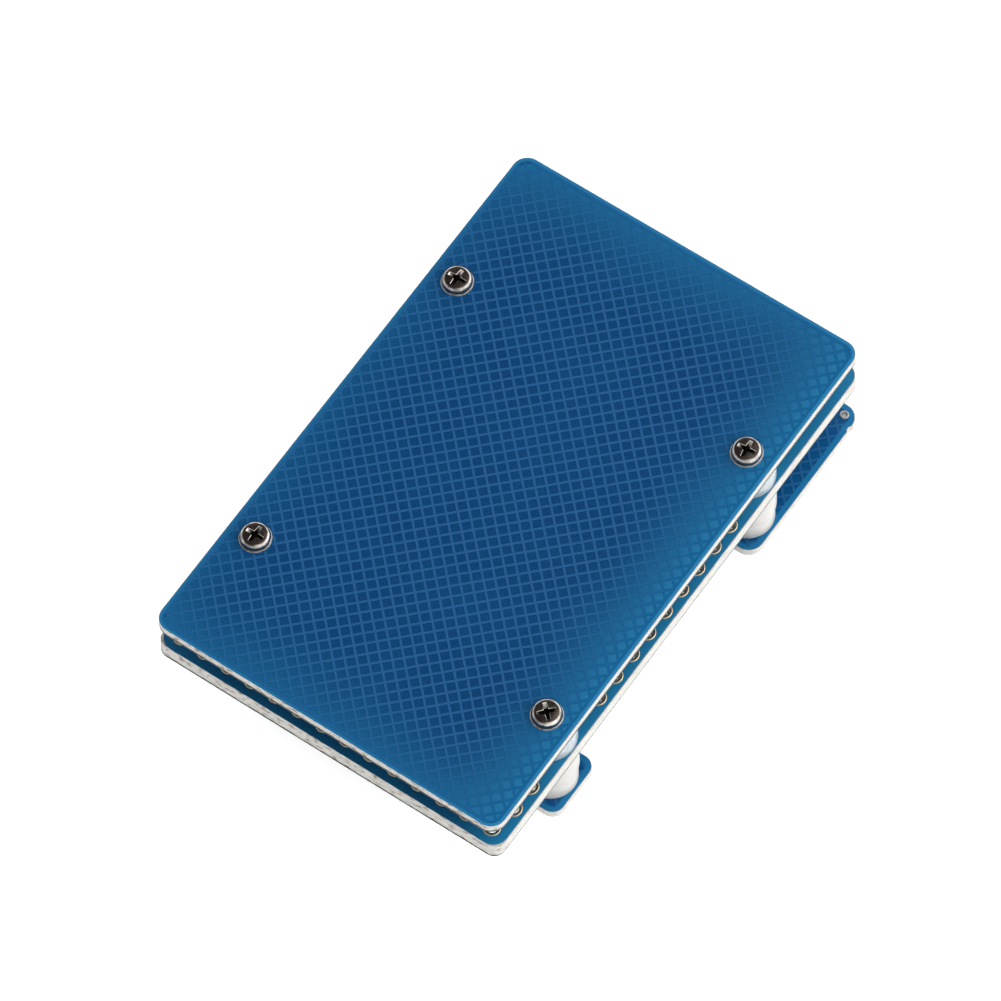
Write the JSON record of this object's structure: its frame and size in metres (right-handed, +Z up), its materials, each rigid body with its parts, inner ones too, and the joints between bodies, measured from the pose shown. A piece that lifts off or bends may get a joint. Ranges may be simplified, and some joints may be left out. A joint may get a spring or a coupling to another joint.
{
  "type": "usb microcontroller programmer",
  "caption": "USB microcontroller programmer: a stack of blue circuit boards on nylon spacers, with a crosshatched back cover, headers, push buttons and a slide switch.",
  "frame": {"origin": "centre of the footprint, on the plane of the four screw tips that the stack stands on", "axes": "+X along the boards towards the USB socket end, +Y towards the shrouded header's side, +Z up through the stack to the back cover"},
  "size_m": [0.0568, 0.0364, 0.0159],
  "materials": {
    "blue_mask": "glossy solder mask over glass-fibre board, crosshatched copper underneath",
    "clear_nylon": "translucent nylon",
    "white_nylon": "moulded nylon",
    "black_nickel": "black nickel plate",
    "steel": "bright zinc plate",
    "gold_plate": "gold plate",
    "tin": "tin plate",
    "pressed_metal": "nickel-plated sheet",
    "can_aluminium": "satin aluminium can",
    "chip_epoxy": "moulded epoxy",
    "black_plastic": "moulded nylon",
    "red_plastic": "moulded plastic",
    "white_plastic": "moulded plastic",
    "brown_laminate": "paper laminate",
    "tan_ceramic": "fired ceramic",
    "resistor_glass": "glazed ceramic",
    "fuse_body": "coated polymer",
    "red_lens": "tinted clear epoxy",
    "yellow_lens": "tinted clear epoxy",
    "green_lens": "tinted clear epoxy"
  },
  "bodies": {
    "root": {"back_cover": "blue_mask", "main_board": "blue_mask", "front_cover": "blue_mask", "clear_spacers": "clear_nylon", "upper_spacers": "white_nylon", "lower_spacers": "white_nylon", "cover_screws": "black_nickel", "cover_nuts": "steel", "edge_pads": "gold_plate", "usb_contacts": "gold_plate", "target_header_pins": "gold_plate", "service_header_pins": "gold_plate", "corner_ring": "tin", "controller_leads": "tin", "small_chip_leads": "tin", "regulator_leads": "tin", "chip_terminals": "tin", "led_leads": "tin", "button_legs": "tin", "switch_pins": "tin", "solder_joints": "tin", "usb_shell": "pressed_metal", "button_frames": "pressed_metal", "button_domes": "pressed_metal", "switch_frame": "pressed_metal", "crystal_can": "pressed_metal", "capacitor_cans": "can_aluminium", "controller_chip": "chip_epoxy", "buffer_chip": "chip_epoxy", "memory_chip": "chip_epoxy", "voltage_regulator": "chip_epoxy", "usb_insert": "black_plastic", "crystal_base": "black_plastic", "capacitor_bases": "black_plastic", "button_bases": "black_plastic", "target_header_shroud": "black_plastic", "service_header_base": "black_plastic", "switch_base": "brown_laminate", "chip_capacitors": "tan_ceramic", "chip_resistors": "resistor_glass", "input_fuse": "fuse_body", "power_led": "red_lens", "busy_led": "yellow_lens", "target_led": "green_lens"},
    "program_button": {"program_button": "black_plastic"},
    "reset_button": {"reset_button": "red_plastic"},
    "switch_knob": {"switch_knob": "white_plastic"}
  },
  "joints": [
    {"name": "program_button_press", "type": "slide", "parent": "root", "child": "program_button", "axis": [0, 0, 1], "range_m": [0, 0.00025], "stiffness_N_per_m": 2000, "springref_m": -0.0001},
    {"name": "reset_button_press", "type": "slide", "parent": "root", "child": "reset_button", "axis": [0, 0, 1], "range_m": [0, 0.00025], "stiffness_N_per_m": 2000, "springref_m": -0.0001},
    {"name": "switch_knob_slide", "type": "slide", "parent": "root", "child": "switch_knob", "axis": [0, 1, 0], "range_m": [0, 0.002]}
  ]
}
